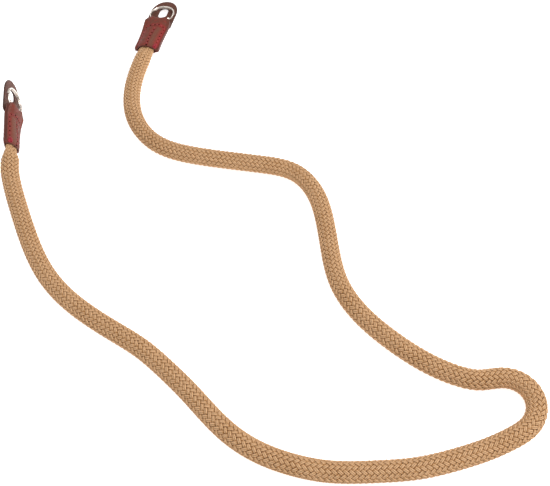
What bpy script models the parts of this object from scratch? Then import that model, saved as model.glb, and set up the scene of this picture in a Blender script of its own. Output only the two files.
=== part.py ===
"""Camera neck strap, lying on the plane z = 0: a round braided cord whose two ends are pressed
flat and sewn into leather sleeves. Each sleeve ends in a fold that holds a split ring, with an
oval leather guard behind the ring. Metres, +Z up; the origin lies between the two leather ends,
on the surface under them."""

import math

import bmesh
import bpy
import numpy as np
from mathutils import Matrix, Vector

# Cord
CORD_DIAMETER = 0.0100
CORD_SIDES_LEVEL = 4          # bevel resolution of the tube: 12 sides
PRESS_RUN = 0.0090            # stretch in front of a sleeve over which the cord turns flat
LEAD = 0.0025                 # straight stretch before that, in line with it
FINE_STEP = 0.7               # spacing of the tube's points, in diameters, in the tightest bend
COARSE_STEP = 2.0             # and along straight runs
BEND_SHARE = 0.45             # share of a bend's radius that one step may cover
SAMPLES = 40                  # trial points between two points of the route

# Leather sleeve
PLY = 0.0011                  # one thickness of sleeve leather
SLEEVE_LENGTH = 0.0252        # mouth to shoulder
SHOULDER_WIDTH = 0.0164
POCKET_DEPTH = 0.0205         # how far the cord reaches into the sleeve
FOLD_WIDTH = 0.0092           # the leather that passes through the ring
FOLD_LIFT = 0.0013            # the fold's middle in front of the side seams' plane

# Split ring
RING_OUTER = 0.0155           # outside diameter
RING_WIRE = 0.0008            # wire thickness
RING_TURN_GAP = 0.0001        # between its two turns
RING_JOG = 34.0               # degrees over which the wire crosses from one turn to the other
RING_START = 5.0              # where its wire begins, in degrees from the across axis
RING_SEAT = 0.0084            # shoulder to ring centre
RING_SHIFT = 0.0003           # its middle from the sleeve's, across
RING_TILT = 4.5               # degrees: its far side lies down on the guard
RING_STEPS = 38               # points a turn
RING_MOUTH = 6.0              # degrees between its start and its end
EYE_PLAY = 0.0003             # room above and below it in the fold

# Ring guard
GUARD_LEATHER = 0.0011
GUARD_WIDTH = 0.0176
GUARD_SHIFT = -0.0005         # its middle from the sleeve's, across
GUARD_REACH = 0.0234          # shoulder to tip
GUARD_TAIL = 0.0024           # how far it runs down behind the shoulders
GUARD_TAIL_WIDTH = 0.0172
GUARD_CORNER = 0.0020         # radius of its two lower corners
GUARD_TIP_SHARE = 1.3         # length of its rounded tip, in half widths
GUARD_FULLNESS = 0.90         # below 1 the tip is fuller than an ellipse
SLOT_WIDTH = 0.0054
SLOT_LENGTH = 0.0090
SLOT_SEAT = 0.0120            # shoulder to the slot's centre

CLEARANCE = 0.0003            # between pieces that touch

# Where the two ends lie: the middle of each sleeve's mouth, and how its length is turned.
# Yaw turns the end towards +X, pitch raises its tip, roll turns its face towards +X, and mirror
# says which way round its ring and guard are.
ENDS = {
    "left": {"mouth": (-0.0380, -0.0644, 0.0080), "yaw": -6.0, "pitch": 4.5, "roll": 77.0, "mirror": -1},
    "right": {"mouth": (0.0300, 0.0178, 0.0048), "yaw": 12.0, "pitch": -1.0, "roll": -6.0, "mirror": 1},
}

# The cord's route on the surface, from the left end to the right one, chosen by hand.
CORD_ROUTE = (
    (-0.0341, -0.0872), (-0.0281, -0.1027), (-0.0171, -0.1277), (-0.0066, -0.1457),
    (0.0049, -0.1587), (0.0179, -0.1692), (0.0314, -0.1782), (0.0449, -0.1872),
    (0.0574, -0.1982), (0.0684, -0.2092), (0.0774, -0.2192), (0.0879, -0.2297),
    (0.1004, -0.2382), (0.1154, -0.2442), (0.1329, -0.2477), (0.1529, -0.2477),
    (0.1714, -0.2462), (0.1889, -0.2422), (0.2029, -0.2377), (0.2164, -0.2317),
    (0.2249, -0.2257), (0.2289, -0.2167), (0.2259, -0.2072), (0.2169, -0.2027),
    (0.2049, -0.2037), (0.1934, -0.2012), (0.1814, -0.1952), (0.1654, -0.1832),
    (0.1509, -0.1682), (0.1414, -0.1512), (0.1374, -0.1312), (0.1349, -0.1097),
    (0.1304, -0.0927), (0.1194, -0.0787), (0.1019, -0.0732), (0.0664, -0.0672),
    (0.0434, -0.0587), (0.0289, -0.0402), (0.0249, -0.0117),
)

# The sleeve from its mouth to its shoulder. All are shares: along of the sleeve's length, edge
# of the shoulder's half width, and wide, high and low of the cord's radius, for the room inside
# it across, in front of the side seams and behind them; lift is a share of the fold's.
POCKET = (
    {"along": 0.00, "edge": 0.965, "wide": 1.04, "high": 0.57, "low": 0.37, "lift": 0.0},
    {"along": 0.10, "edge": 0.93, "wide": 1.05, "high": 0.56, "low": 0.36, "lift": 0.0},
    {"along": 0.24, "edge": 0.91, "wide": 1.07, "high": 0.52, "low": 0.34, "lift": 0.0},
    {"along": 0.40, "edge": 0.915, "wide": 1.10, "high": 0.46, "low": 0.32, "lift": 0.0},
    {"along": 0.58, "edge": 0.94, "wide": 1.12, "high": 0.40, "low": 0.29, "lift": 0.0},
    {"along": 0.76, "edge": 0.98, "wide": 1.10, "high": 0.35, "low": 0.23, "lift": 0.1},
    {"along": 0.88, "edge": 1.0, "wide": 1.05, "high": 0.30, "low": 0.10, "lift": 0.45},
)

# Face count of a section's top, and of a cord section all round
SECTION_STEPS = 14
CORD_SECTION_SIDES = 20

HALF_SHOULDER = SHOULDER_WIDTH / 2
HALF_FOLD = FOLD_WIDTH / 2
CORD_RADIUS = CORD_DIAMETER / 2
RING_HEIGHT = 2 * RING_WIRE + RING_TURN_GAP
RING_MEAN = RING_OUTER / 2 - RING_WIRE / 2
RING_INNER = RING_OUTER / 2 - RING_WIRE
EYE_HALF_HEIGHT = RING_HEIGHT / 2 + EYE_PLAY
FOLD_HALF_HEIGHT = EYE_HALF_HEIGHT + PLY


def material(name, colour, roughness, metallic=0.0):
    """A plain Principled material."""
    made = bpy.data.materials.new(name)
    made.use_nodes = True
    shader = made.node_tree.nodes["Principled BSDF"]
    shader.inputs["Base Color"].default_value = (*colour, 1.0)
    shader.inputs["Roughness"].default_value = roughness
    shader.inputs["Metallic"].default_value = metallic
    made.diffuse_color = (*colour, 1.0)
    return made


def add_object(name, data, collection, surface=None, parent=None):
    """Links a new object to its collection, with its material and parent."""
    made = bpy.data.objects.new(name, data)
    collection.objects.link(made)
    if surface:
        data.materials.append(surface)
    if parent:
        made.parent = parent
    return made


def loft(name, sections, collection, surface=None, parent=None):
    """A closed solid through sections of equal point count, capped at both ends."""
    bm = bmesh.new()
    rings = [[bm.verts.new(point) for point in section] for section in sections]
    count = len(rings[0])
    for lower, upper in zip(rings, rings[1:]):
        for i in range(count):
            j = (i + 1) % count
            bm.faces.new((lower[i], lower[j], upper[j], upper[i]))
    bm.faces.new(rings[0])
    bm.faces.new(rings[-1])
    bmesh.ops.recalc_face_normals(bm, faces=bm.faces)
    mesh = bpy.data.meshes.new(name)
    bm.to_mesh(mesh)
    bm.free()
    mesh.shade_smooth()
    mesh.set_sharp_from_angle(angle=math.radians(40))
    return add_object(name, mesh, collection, surface, parent)


def cut(target, cutter):
    """Takes the cutter's shape out of the target and hides the cutter."""
    cutter.hide_render = True
    cutter.display_type = "WIRE"
    boolean = target.modifiers.new("cut_" + cutter.name, "BOOLEAN")
    boolean.operation = "DIFFERENCE"
    boolean.solver = "EXACT"
    boolean.object = cutter


def smooth_curve(points, start_way, end_way):
    """A function from 0..len(points)-1 to a point and its bend: a cubic spline through the
    points, with the given unit directions at its ends."""
    knots = np.array(points, float)
    spans = np.linalg.norm(np.diff(knots, axis=0), axis=1)
    count = len(knots)
    system = np.eye(count)
    right = np.zeros((count, 3))
    right[0] = start_way
    right[-1] = end_way
    for i in range(1, count - 1):
        before, after = spans[i - 1], spans[i]
        system[i, i - 1] = 1 / before
        system[i, i] = 2 / before + 2 / after
        system[i, i + 1] = 1 / after
        rise = (knots[i] - knots[i - 1]) / before**2 + (knots[i + 1] - knots[i]) / after**2
        right[i] = 3 * rise
    slopes = np.linalg.solve(system, right)

    def at(place):
        i = min(int(place), count - 2)
        t = place - i
        span = spans[i]
        a, b = knots[i], knots[i + 1]
        ma, mb = slopes[i] * span, slopes[i + 1] * span
        point = (
            (2 * t**3 - 3 * t**2 + 1) * a
            + (t**3 - 2 * t**2 + t) * ma
            + (3 * t**2 - 2 * t**3) * b
            + (t**3 - t**2) * mb
        )
        way = (6 * t**2 - 6 * t) * (a - b) + (3 * t**2 - 4 * t + 1) * ma + (3 * t**2 - 2 * t) * mb
        turn = (12 * t - 6) * (a - b) + (6 * t - 4) * ma + (6 * t - 2) * mb
        bend = np.linalg.norm(np.cross(way, turn)) / max(np.linalg.norm(way), 1e-9) ** 3
        return point, bend

    return at, count - 1


def spaced_points(points, start_way, end_way):
    """Points along the smooth curve, closer together where it bends more."""
    at, last = smooth_curve(points, start_way, end_way)
    fine = [at(i / SAMPLES) for i in range(last * SAMPLES + 1)]
    finest, coarsest = FINE_STEP * CORD_DIAMETER, COARSE_STEP * CORD_DIAMETER
    chosen = [fine[0][0]]
    run = 0.0
    bend_seen = fine[0][1]
    for (before, _), (here, bend) in zip(fine, fine[1:]):
        run += np.linalg.norm(here - before)
        bend_seen = max(bend_seen, bend)
        step = min(max(BEND_SHARE / max(bend_seen, 1e-9), finest), coarsest)
        if run >= step:
            chosen.append(here)
            run = 0.0
            bend_seen = bend
    if run < finest / 2:
        chosen.pop()
    chosen.append(fine[-1][0])
    return chosen


def pocket_row(along):
    """One row of the pocket's table at a distance from the mouth, in metres."""
    places = [row["along"] * SLEEVE_LENGTH for row in POCKET]
    units = {"edge": HALF_SHOULDER, "wide": CORD_RADIUS, "high": CORD_RADIUS, "low": CORD_RADIUS}
    units["lift"] = FOLD_LIFT
    made = {}
    for name, unit in units.items():
        made[name] = float(np.interp(along, places, [row[name] * unit for row in POCKET]))
    return made


def oval(along, wide, high, low):
    """A section of the cord or of the room for it, with its own height above and below."""
    points = []
    for i in range(CORD_SECTION_SIDES):
        angle = 2 * math.pi * i / CORD_SECTION_SIDES
        rise = high if i <= CORD_SECTION_SIDES / 2 else low
        points.append(Vector((wide * math.cos(angle), along, rise * math.sin(angle))))
    return points


def sleeve_section(along, edge, wide, high, low, lift, square):
    """A flat two-ply flange out to the edge, thicker in the middle over the pocket or the fold."""
    def height(across, most):
        share = min(abs(across) / wide, 1.0)
        raised = most * (1 - share**square) ** (1 / square)
        return (PLY**4 + raised**4) ** 0.25

    steps = [edge * (2 * i / SECTION_STEPS - 1) for i in range(SECTION_STEPS + 1)]
    top = [Vector((x, along, lift + height(x, high))) for x in reversed(steps)]
    bottom = [Vector((x, along, lift - height(x, low))) for x in steps]
    return top + bottom


def sleeve_sections():
    """From the mouth over the pocket and the shoulders to the rounded end of the fold."""
    sections = []
    for row in POCKET:
        along = row["along"] * SLEEVE_LENGTH
        room = pocket_row(along)
        wide, high, low = room["wide"] + PLY, room["high"] + PLY, room["low"] + PLY
        sections.append(sleeve_section(along, room["edge"], wide, high, low, room["lift"], 2.0))
    rounding_start = FOLD_END - FOLD_HALF_HEIGHT
    for share in (0.0, 0.35, 0.7, 0.92):
        along = SLEEVE_LENGTH + share * (rounding_start - SLEEVE_LENGTH)
        edge = HALF_FOLD + (HALF_SHOULDER - HALF_FOLD) * math.sqrt(1 - share**2)
        wide = HALF_FOLD + PLY
        sections.append(
            sleeve_section(along, edge, wide, FOLD_HALF_HEIGHT, FOLD_HALF_HEIGHT, FOLD_LIFT, 4.0 + 4.0 * share)
        )
    for turn in (0, 30, 55, 75):
        angle = math.radians(turn)
        along = rounding_start + FOLD_HALF_HEIGHT * math.sin(angle)
        high = FOLD_HALF_HEIGHT * math.cos(angle)
        sections.append(sleeve_section(along, HALF_FOLD, HALF_FOLD + PLY, high, high, FOLD_LIFT, 8.0))
    return sections


# The ring's lower arc crosses the fold; the eye for it reaches from the arc's lowest outer point
# to where its inner side leaves the fold.
RING_CENTRE = SLEEVE_LENGTH + RING_SEAT
EYE_START = RING_CENTRE - RING_OUTER / 2 - CLEARANCE
EYE_END = RING_CENTRE - math.sqrt(RING_INNER**2 - (HALF_FOLD + RING_SHIFT) ** 2) + CLEARANCE
FOLD_END = EYE_END + PLY


def rounded_bar(half_length, half_width, steps=6):
    """Outline of a bar with round ends, as points in its own plane, long in y."""
    points = []
    straight = half_length - half_width
    for end in (1, -1):
        for i in range(steps + 1):
            angle = math.pi * i / steps
            points.append((end * half_width * math.cos(angle), end * (straight + half_width * math.sin(angle))))
    return points


def flat_curve(name, outlines, half_thickness):
    """A 2D curve filled between its outlines and extruded to both sides."""
    curve = bpy.data.curves.new(name, "CURVE")
    curve.dimensions = "2D"
    curve.fill_mode = "BOTH"
    curve.extrude = half_thickness
    for outline in outlines:
        spline = curve.splines.new("POLY")
        spline.points.add(len(outline) - 1)
        for point, (x, y) in zip(spline.points, outline):
            point.co = (x, y, 0.0, 1.0)
        spline.use_cyclic_u = True
    return curve


def pocket_places():
    """Distances from the mouth of the table's rows that lie inside the pocket."""
    places = [row["along"] * SLEEVE_LENGTH for row in POCKET]
    return [place for place in places[1:] if place < POCKET_DEPTH - PLY]


def make_sleeve(side, anchor, parts, cutters, leather):
    """The leather pocket with its shoulders and the fold round the ring."""
    sleeve = loft(side + "_sleeve", sleeve_sections(), parts, leather, anchor)
    room = []
    for place in [-PLY] + pocket_places():
        row = pocket_row(max(place, 0.0))
        room.append(oval(place, row["wide"], row["high"], row["low"]))
    row = pocket_row(POCKET_DEPTH)
    room.append(oval(POCKET_DEPTH + CLEARANCE, row["wide"], row["high"], row["low"]))
    cut(sleeve, loft(side + "_pocket_room", room, cutters, parent=anchor))

    eye = flat_curve(side + "_ring_eye", [rounded_bar((EYE_END - EYE_START) / 2, EYE_HALF_HEIGHT)], HALF_SHOULDER)
    eye_curve = add_object(side + "_ring_eye_outline", eye, cutters)
    bpy.context.view_layer.update()
    mesh = bpy.data.meshes.new_from_object(eye_curve.evaluated_get(bpy.context.evaluated_depsgraph_get()))
    bpy.data.objects.remove(eye_curve)
    bm = bmesh.new()
    bm.from_mesh(mesh)
    bmesh.ops.remove_doubles(bm, verts=bm.verts, dist=1e-6)
    bmesh.ops.recalc_face_normals(bm, faces=bm.faces)
    bm.to_mesh(mesh)
    bm.free()
    mesh.transform(Matrix.Rotation(math.radians(90), 4, "Y"))
    eye_cutter = add_object(side + "_ring_eye", mesh, cutters, parent=anchor)
    eye_cutter.location = (0.0, (EYE_START + EYE_END) / 2, FOLD_LIFT)
    cut(sleeve, eye_cutter)
    return sleeve


def make_cord_end(side, anchor, parts, cloth):
    """The cord's last stretch: round where it meets the tube, pressed flat inside the sleeve."""
    neck = pocket_row(0.0)
    sections = []
    for share in (0.0, 0.25, 0.5, 0.75, 1.0):
        blend = share * share * (3 - 2 * share)
        wide, high, low = (
            CORD_RADIUS + (neck[name] - CLEARANCE - CORD_RADIUS) * blend for name in ("wide", "high", "low")
        )
        place = -PRESS_RUN * (1 - share) + (CLEARANCE if share == 0.0 else 0.0)
        sections.append(oval(place, wide, high, low))
    for place in pocket_places() + [POCKET_DEPTH]:
        row = pocket_row(place)
        sections.append(oval(place, row["wide"] - CLEARANCE, row["high"] - CLEARANCE, row["low"] - CLEARANCE))
    return loft(side + "_cord_end", sections, parts, cloth, anchor)


def guard_outline():
    """The guard's outline: a straight lower edge behind the shoulders, wide sides, a round tip."""
    half = GUARD_WIDTH / 2
    tail_half = GUARD_TAIL_WIDTH / 2
    tail = SLEEVE_LENGTH - GUARD_TAIL
    tip = SLEEVE_LENGTH + GUARD_REACH
    tip_run = half * GUARD_TIP_SHARE
    right = []
    for i in range(4):
        angle = math.radians(90 * i / 3)
        x = tail_half - GUARD_CORNER * (1 - math.sin(angle))
        right.append((x, tail + GUARD_CORNER * (1 - math.cos(angle))))
    start = tail + GUARD_CORNER
    for i in range(1, 6):
        share = i / 6
        swell = share * share * (3 - 2 * share)
        right.append((tail_half + (half - tail_half) * swell, start + (tip - tip_run - start) * share))
    for i in range(12):
        angle = math.radians(90 * i / 12)
        right.append((half * math.cos(angle) ** GUARD_FULLNESS, tip - tip_run + tip_run * math.sin(angle)))
    return right + [(0.0, tip)] + [(-x, y) for x, y in reversed(right)]


def make_guard(side, anchor, parts, leather):
    """The leather flap that keeps the ring off the camera, with its slot."""
    slot = [(x, y + SLEEVE_LENGTH + SLOT_SEAT) for x, y in rounded_bar(SLOT_LENGTH / 2, SLOT_WIDTH / 2)]
    curve = flat_curve(side + "_ring_guard", [guard_outline(), slot], GUARD_LEATHER / 2)
    guard = add_object(side + "_ring_guard", curve, parts, leather, anchor)
    face = FOLD_LIFT - FOLD_HALF_HEIGHT - CLEARANCE
    guard.location = (GUARD_SHIFT * ENDS[side]["mirror"], 0.0, face - GUARD_LEATHER / 2)
    return guard


def make_ring(side, anchor, parts, metal):
    """Two turns of wire on each other, with the jog where one crosses to the other level."""
    curve = bpy.data.curves.new(side + "_split_ring", "CURVE")
    curve.dimensions = "3D"
    curve.bevel_depth = RING_WIRE / 2
    curve.bevel_resolution = 2
    curve.use_fill_caps = True
    level = (RING_WIRE + RING_TURN_GAP) / 2
    sweep = 720.0 - RING_JOG - RING_MOUTH
    steps = round(sweep / 360 * RING_STEPS)
    spline = curve.splines.new("POLY")
    spline.points.add(steps)
    for i, point in enumerate(spline.points):
        turned = sweep * i / steps
        climb = min(max((turned - 360 + RING_JOG) / RING_JOG, 0.0), 1.0)
        height = level * (2 * climb * climb * (3 - 2 * climb) - 1)
        angle = math.radians(RING_START + turned)
        point.co = (ENDS[side]["mirror"] * RING_MEAN * math.cos(angle), RING_MEAN * math.sin(angle), height, 1.0)
    ring = add_object(side + "_split_ring", curve, parts, metal, anchor)
    pivot = EYE_START + 0.45 * (EYE_END - EYE_START)
    drop = math.tan(math.radians(RING_TILT)) * (RING_CENTRE - pivot)
    ring.location = (RING_SHIFT * ENDS[side]["mirror"], RING_CENTRE, FOLD_LIFT - drop)
    ring.rotation_euler = (-math.radians(RING_TILT), 0.0, 0.0)
    return ring


def end_anchor(side, collection):
    """An empty at the middle of a sleeve's mouth, its +Y along the end and +Z out of its face."""
    place = ENDS[side]
    anchor = bpy.data.objects.new(side + "_end", None)
    collection.objects.link(anchor)
    anchor.location = place["mouth"]
    anchor.rotation_mode = "YXZ"
    anchor.rotation_euler = (
        math.radians(place["pitch"]),
        math.radians(place["roll"]),
        math.radians(-place["yaw"]),
    )
    return anchor


def make_cord(anchors, parts, cloth):
    """The round cord between the two pressed ends, as one tube along its route."""
    stops, leads, ways = [], [], []
    for anchor in anchors:
        stops.append(anchor.matrix_world @ Vector((0.0, -PRESS_RUN, 0.0)))
        leads.append(anchor.matrix_world @ Vector((0.0, -PRESS_RUN - LEAD, 0.0)))
        ways.append((anchor.matrix_world.to_3x3() @ Vector((0.0, 1.0, 0.0))).normalized())
    route = [tuple(leads[0])] + [(x, y, CORD_RADIUS) for x, y in CORD_ROUTE] + [tuple(leads[1])]
    curve = bpy.data.curves.new("cord", "CURVE")
    curve.dimensions = "3D"
    curve.bevel_depth = CORD_RADIUS
    curve.bevel_resolution = CORD_SIDES_LEVEL
    curve.use_fill_caps = True
    points = spaced_points(route, -np.array(ways[0]), np.array(ways[1]))
    points = [tuple(stops[0])] + points + [tuple(stops[1])]
    spline = curve.splines.new("POLY")
    spline.points.add(len(points) - 1)
    for point, (x, y, z) in zip(spline.points, points):
        point.co = (x, y, max(z, CORD_RADIUS), 1.0)
    return add_object("cord", curve, parts, cloth)


def main():
    for old in list(bpy.data.objects):
        bpy.data.objects.remove(old)
    parts = bpy.data.collections.new("camera_neck_strap")
    cutters = bpy.data.collections.new("cutters")
    for collection in (parts, cutters):
        bpy.context.scene.collection.children.link(collection)

    cloth = material("braided_cotton", (0.60, 0.36, 0.18), 0.85)
    leather = material("sleeve_leather", (0.14, 0.045, 0.032), 0.55)
    guard_leather = material("guard_leather", (0.13, 0.048, 0.035), 0.55)
    chrome = material("ring_chrome", (0.78, 0.78, 0.77), 0.12, 1.0)

    anchors = [end_anchor(side, parts) for side in ENDS]
    bpy.context.view_layer.update()
    for side, anchor in zip(ENDS, anchors):
        make_sleeve(side, anchor, parts, cutters, leather)
        make_cord_end(side, anchor, parts, cloth)
        make_guard(side, anchor, parts, guard_leather)
        make_ring(side, anchor, parts, chrome)
    make_cord(anchors, parts, cloth)


main()
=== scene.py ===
"""Looks of a camera neck strap: a round braided cotton cord with two sewn leather ends, each
holding a chromed split ring in front of a leather guard. Everything is in metres, in the frame
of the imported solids."""

import math

import bmesh
import bpy
import numpy as np
from bpy.props import FloatProperty, FloatVectorProperty, IntProperty, PointerProperty
from mathutils import Euler, Matrix, Vector


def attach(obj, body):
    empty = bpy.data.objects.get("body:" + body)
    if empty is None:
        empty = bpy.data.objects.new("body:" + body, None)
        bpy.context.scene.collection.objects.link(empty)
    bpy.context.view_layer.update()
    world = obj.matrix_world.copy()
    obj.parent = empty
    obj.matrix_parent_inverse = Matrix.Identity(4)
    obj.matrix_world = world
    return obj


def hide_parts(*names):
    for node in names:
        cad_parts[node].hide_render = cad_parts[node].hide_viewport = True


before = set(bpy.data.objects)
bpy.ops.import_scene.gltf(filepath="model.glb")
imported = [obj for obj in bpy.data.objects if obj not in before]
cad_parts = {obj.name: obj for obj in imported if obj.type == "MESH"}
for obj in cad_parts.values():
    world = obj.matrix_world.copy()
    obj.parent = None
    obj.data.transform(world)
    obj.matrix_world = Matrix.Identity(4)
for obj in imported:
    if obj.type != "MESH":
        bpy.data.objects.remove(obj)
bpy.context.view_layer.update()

bl_info = {
    "name": "Camera neck strap",
    "version": (1, 0, 0),
    "blender": (4, 5, 0),
    "location": "3D View > Sidebar > Strap",
    "description": "Dresses the solids of a camera neck strap",
    "category": "Object",
}

# Where the two leather ends lie, as in the solids: the middle of each sleeve's mouth, how its
# length is turned, which way its pattern of stitches is mirrored, by what share its mouth is
# narrower towards -X, how far its mouth is cut back towards +X, how much painted shade darkens
# the lower turn of its ring, and how much dye its stitches have lost.
ENDS = {
    "left": {
        "mouth": (-0.0380, -0.0644, 0.0080), "yaw": -6.0, "pitch": 4.5, "roll": 77.0, "mirror": -1,
        "narrow": 0.11, "cut": 0.0024, "lower_turn_shade": 0.3, "dye": 0.45,
    },
    "right": {
        "mouth": (0.0300, 0.0178, 0.0048), "yaw": 12.0, "pitch": -1.0, "roll": -6.0, "mirror": 1,
        "narrow": 0.0, "cut": 0.0, "lower_turn_shade": 1.0, "dye": 1.0,
    },
}

# The cord's route on the surface, as in the solids.
CORD_ROUTE = (
    (-0.0341, -0.0872), (-0.0281, -0.1027), (-0.0171, -0.1277), (-0.0066, -0.1457),
    (0.0049, -0.1587), (0.0179, -0.1692), (0.0314, -0.1782), (0.0449, -0.1872),
    (0.0574, -0.1982), (0.0684, -0.2092), (0.0774, -0.2192), (0.0879, -0.2297),
    (0.1004, -0.2382), (0.1154, -0.2442), (0.1329, -0.2477), (0.1529, -0.2477),
    (0.1714, -0.2462), (0.1889, -0.2422), (0.2029, -0.2377), (0.2164, -0.2317),
    (0.2249, -0.2257), (0.2289, -0.2167), (0.2259, -0.2072), (0.2169, -0.2027),
    (0.2049, -0.2037), (0.1934, -0.2012), (0.1814, -0.1952), (0.1654, -0.1832),
    (0.1509, -0.1682), (0.1414, -0.1512), (0.1374, -0.1312), (0.1349, -0.1097),
    (0.1304, -0.0927), (0.1194, -0.0787), (0.1019, -0.0732), (0.0664, -0.0672),
    (0.0434, -0.0587), (0.0289, -0.0402), (0.0249, -0.0117),
)


def end_matrix(side):
    """The frame of one leather end: +Y along it from the mouth to the tip, +Z out of its face."""
    place = ENDS[side]
    turn = Euler((math.radians(place["pitch"]), math.radians(place["roll"]), math.radians(-place["yaw"])), "YXZ")
    return Matrix.Translation(place["mouth"]) @ turn.to_matrix().to_4x4()


# Sizes, in metres: those of the solids that the dressed pieces follow, and smaller ones that
# only the dressed pieces have.
CORD_RADIUS = 0.0050
PRESS_RUN = 0.0090            # stretch in front of a sleeve over which the cord turns flat
LEAD = 0.0025                 # straight stretch before that
SEWN_IN = 0.0120              # how far the braid is modelled inside a sleeve
SPLINE_SAMPLES = 40           # points between two points of the route
CORE_STEP = 3                 # stations from one section of the core to the next
CORE_SIDES = 16
CORE_LEAST = 0.0004           # its least half height
CLEARANCE = 0.0003
PLY = 0.0011                  # one thickness of sleeve leather
SLEEVE_LENGTH = 0.0252        # mouth to shoulder
HALF_SHOULDER = 0.0082
HALF_FOLD = 0.0046
FOLD_LIFT = 0.0013
FOLD_HALF_HEIGHT = 0.00205    # a little less than the solid's, inside it
HOLLOW_START = 0.0225         # from here the fold's end hollows out to follow the ring
HOLLOW_SHARE = 0.85           # by this share of the ring's own curve
SLEEVE_CORNER = 0.0014        # radius of the corners at its mouth
LIP = 0.0022                  # stretch over which the leather is pared thin at the mouth
LIP_PARED = 0.00022           # and by how much
NARROW_RUN = 0.020            # stretch over which a narrower mouth widens
MOUTH_BOW, BOW_RUN = 0.0007, 0.0060  # how far its corners reach forward, over what stretch
CUT_RUN = 0.010               # stretch over which a mouth that is cut back is drawn in
SLEEVE_RIM = 0.0012           # how wide its burnished edges are
SLEEVE_ROWS_ACROSS, SLEEVE_ROWS_ALONG, FOLD_ROWS = 40, 46, 10
ROW_SPREAD = 0.92             # below 1 the rows lie closer together towards the ring
ROW_STEP = 0.0006             # about what lies between two of them
RING_CENTRE = SLEEVE_LENGTH + 0.0084
RING_SHIFT = 0.0003           # its middle from the sleeve's, across
RING_OUTER_RADIUS = 0.00775
RING_WIRE = 0.0008
RING_TILT = math.radians(4.5)
RING_TURN_GAP = 0.0001        # between its two turns
RING_MOUTH = math.radians(6.0)  # between its two cut ends
RING_REST = 0.45              # where in its play it leans on the fold, from the tip
WIRE_SIDES = 14
WIRE_ENDS = (0.78, 0.96)      # shares of its radius at a cut end and one step before
RING_INNER_RADIUS = RING_OUTER_RADIUS - RING_WIRE
FOLD_END = RING_CENTRE - math.sqrt(RING_INNER_RADIUS**2 - (HALF_FOLD + RING_SHIFT) ** 2) + CLEARANCE + PLY
ROUNDING_START = FOLD_END - FOLD_HALF_HEIGHT
GUARD_LEATHER = 0.0011
GUARD_HALF_WIDTH = 0.0088
GUARD_SHIFT = -0.0005         # its middle from the sleeve's, across
GUARD_TIP = SLEEVE_LENGTH + 0.0234
GUARD_TAIL = SLEEVE_LENGTH - 0.0024
GUARD_TAIL_HALF = 0.0086
GUARD_CORNER = 0.0020
GUARD_TIP_LENGTH = GUARD_HALF_WIDTH * 1.3
GUARD_FACE = -0.00125         # its upper face, from the sleeve's middle plane
GUARD_FULLNESS = 0.90         # below 1 its tip is fuller than an ellipse
GUARD_ROUND = 0.0004          # how far in its edges are rounded
GUARD_DIRECTIONS = 168        # points round its outline
GUARD_STEPS = 10              # from the slot to the outline
GUARD_RIM = 0.0014            # how wide its burnished edge is
SLOT_CENTRE = SLEEVE_LENGTH + 0.0120
SLOT_HALF_WIDTH = 0.0027
SLOT_HALF_LENGTH = 0.0045

# The sleeve's pocket: share of the sleeve's length from its mouth, share of the half shoulder to
# its edge, shares of the cord's radius across, in front and behind, and share of the fold's lift.
POCKET_NAMES = ("along", "edge", "wide", "high", "low", "lift")
POCKET = (
    (0.00, 0.965, 1.04, 0.57, 0.37, 0.0),
    (0.10, 0.93, 1.05, 0.56, 0.36, 0.0),
    (0.24, 0.91, 1.07, 0.52, 0.34, 0.0),
    (0.40, 0.915, 1.10, 0.46, 0.32, 0.0),
    (0.58, 0.94, 1.12, 0.40, 0.29, 0.0),
    (0.76, 0.98, 1.10, 0.35, 0.23, 0.1),
    (0.88, 1.00, 1.05, 0.30, 0.10, 0.45),
)

# Lines of stitches on a sleeve's face, across and along from the mouth, for the unmirrored end:
# one goes up the side with the knot, one on round the pressed cord's end and down the other
# side, and one up the middle.
KNOT_LINE = (
    (0.0055, 0.0036), (0.0056, 0.0060), (0.0057, 0.0090), (0.0058, 0.0125), (0.0062, 0.0160),
    (0.0063, 0.0182), (0.0054, 0.0198), (0.0038, 0.0204),
)
ROUND_LINE = (
    (0.0014, 0.0206), (-0.0012, 0.0204), (-0.0034, 0.0198), (-0.0050, 0.0184), (-0.0055, 0.0155),
    (-0.0054, 0.0120), (-0.0053, 0.0075), (-0.0055, 0.0040), (-0.0056, 0.0012),
)
MIDDLE_LINE = (
    (0.0008, 0.0172), (0.0004, 0.0140), (0.0001, 0.0110), (-0.0001, 0.0075), (0.0, 0.0040), (0.0003, 0.0016),
)
SEAM_STRENGTHS = (1.0, 0.55, 0.6)  # of their dye and their thread
SEAM_SAMPLES = 12             # steps from one of these points to the next
SEAM_STEP = 0.0004            # between the points that mark a line
SEAM_STOP = 0.0024            # the last of them, from the mouth
SEAM_REACH = 0.0006           # how far from its line the leather is drawn in
SEAM_DENT = 0.00020           # and how deep
DYE_REACH = (0.0008, 0.0009)  # how far its dye runs, and how much further at full strength
STITCH_SINK = 0.00018         # how deep the thread lies in the leather
KNOT_PLACE = (0.0055, 0.0014)
KNOT_RADII = (0.00056, 0.00088)
KNOT_WIRE = 0.00048
KNOT_STEPS, KNOT_SIDES = 24, 10
# Its loops: where each lies, across, along and up, and how it is turned, in degrees.
KNOT_LOOPS = (
    ((0.0, 0.0, 0.0), (14.0, 8.0, 12.0)), ((0.0001, 0.0003, 0.0003), (72.0, 10.0, 62.0)),
    ((-0.0002, -0.0005, 0.0003), (70.0, -14.0, 24.0)), ((0.0, 0.0008, 0.0001), (66.0, 20.0, -22.0)),
)
# The smooth panel beside the middle line: its two borders and what they fade over, across and
# along, and how far it stands out.
PANEL_SIDES = (0.0010, 0.0050, 0.0005)
PANEL_ENDS = (0.0006, 0.0188, 0.0010)
PANEL_RISE = 0.00012


# ---- settings ------------------------------------------------------------------------------


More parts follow.
